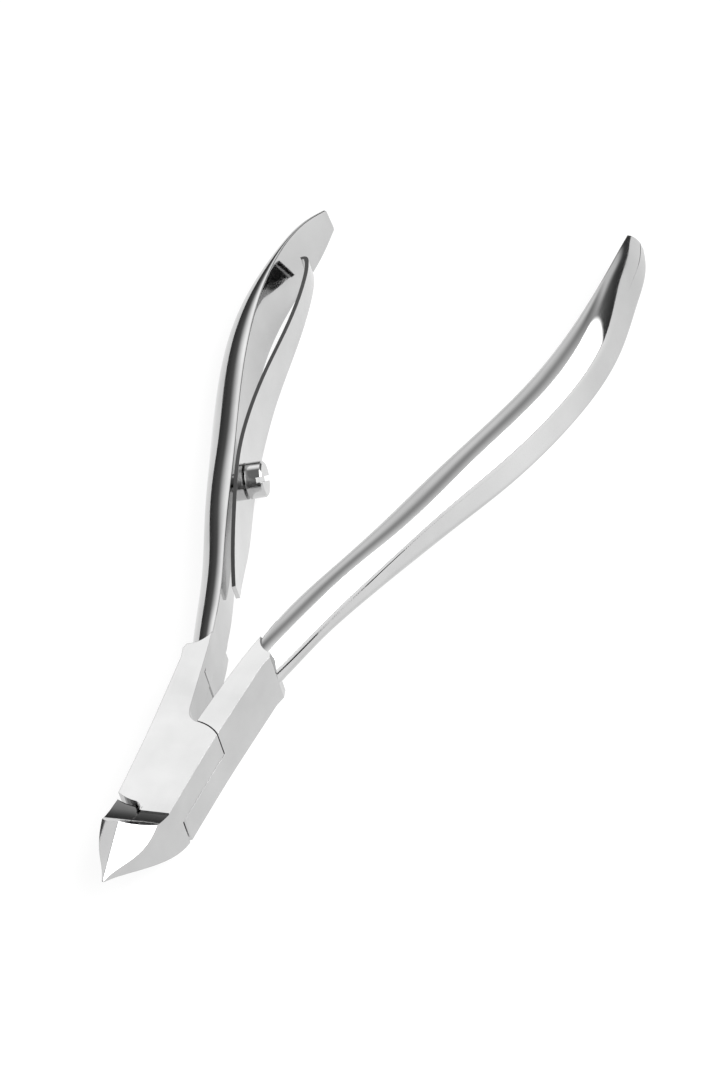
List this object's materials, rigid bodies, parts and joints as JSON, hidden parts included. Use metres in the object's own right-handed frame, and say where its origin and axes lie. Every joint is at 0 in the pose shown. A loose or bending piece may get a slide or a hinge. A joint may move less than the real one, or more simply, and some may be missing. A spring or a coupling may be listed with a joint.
{
  "type": "cuticle nipper",
  "caption": "Lap-jointed cuticle nipper with beak-shaped half jaws, spread curved handles and a willow-leaf spring held by a slotted tension screw.",
  "frame": {"origin": "on the pivot axis, at the flat back of the lap joint", "axes": "+Z along the pivot axis to the front, +Y from the jaws to the handles, +X to the right seen from the front"},
  "size_m": [0.047, 0.108, 0.0088],
  "materials": {
    "polished_steel": "polished",
    "spring_steel": "polished",
    "screw_steel": "satin"
  },
  "bodies": {
    "lever_a": {"lever_a": "polished_steel", "pivot_rivet": "polished_steel"},
    "lever_b": {"lever_b": "polished_steel"},
    "leaf": {"leaf_spring": "spring_steel"},
    "screw": {"tension_screw": "screw_steel"}
  },
  "joints": [
    {"name": "jaw_pivot", "type": "hinge", "parent": "lever_a", "child": "lever_b", "pos_m": [0, 0, 0.0031], "axis": [0, 0, -1], "range_deg": [0, 16]},
    {"name": "leaf_flex", "type": "hinge", "parent": "lever_a", "child": "leaf", "pos_m": [-0.01075, 0.0453, 0.0031], "axis": [0, 0, 1], "range_deg": [0, 1.1], "stiffness_Nm_per_rad": 0.6},
    {"name": "screw_turn", "type": "hinge", "parent": "lever_a", "child": "screw", "pos_m": [-0.01165, 0.045, 0.0031], "axis": [0.9473, 0.3204, 0], "range_deg": [-180, 180]}
  ]
}
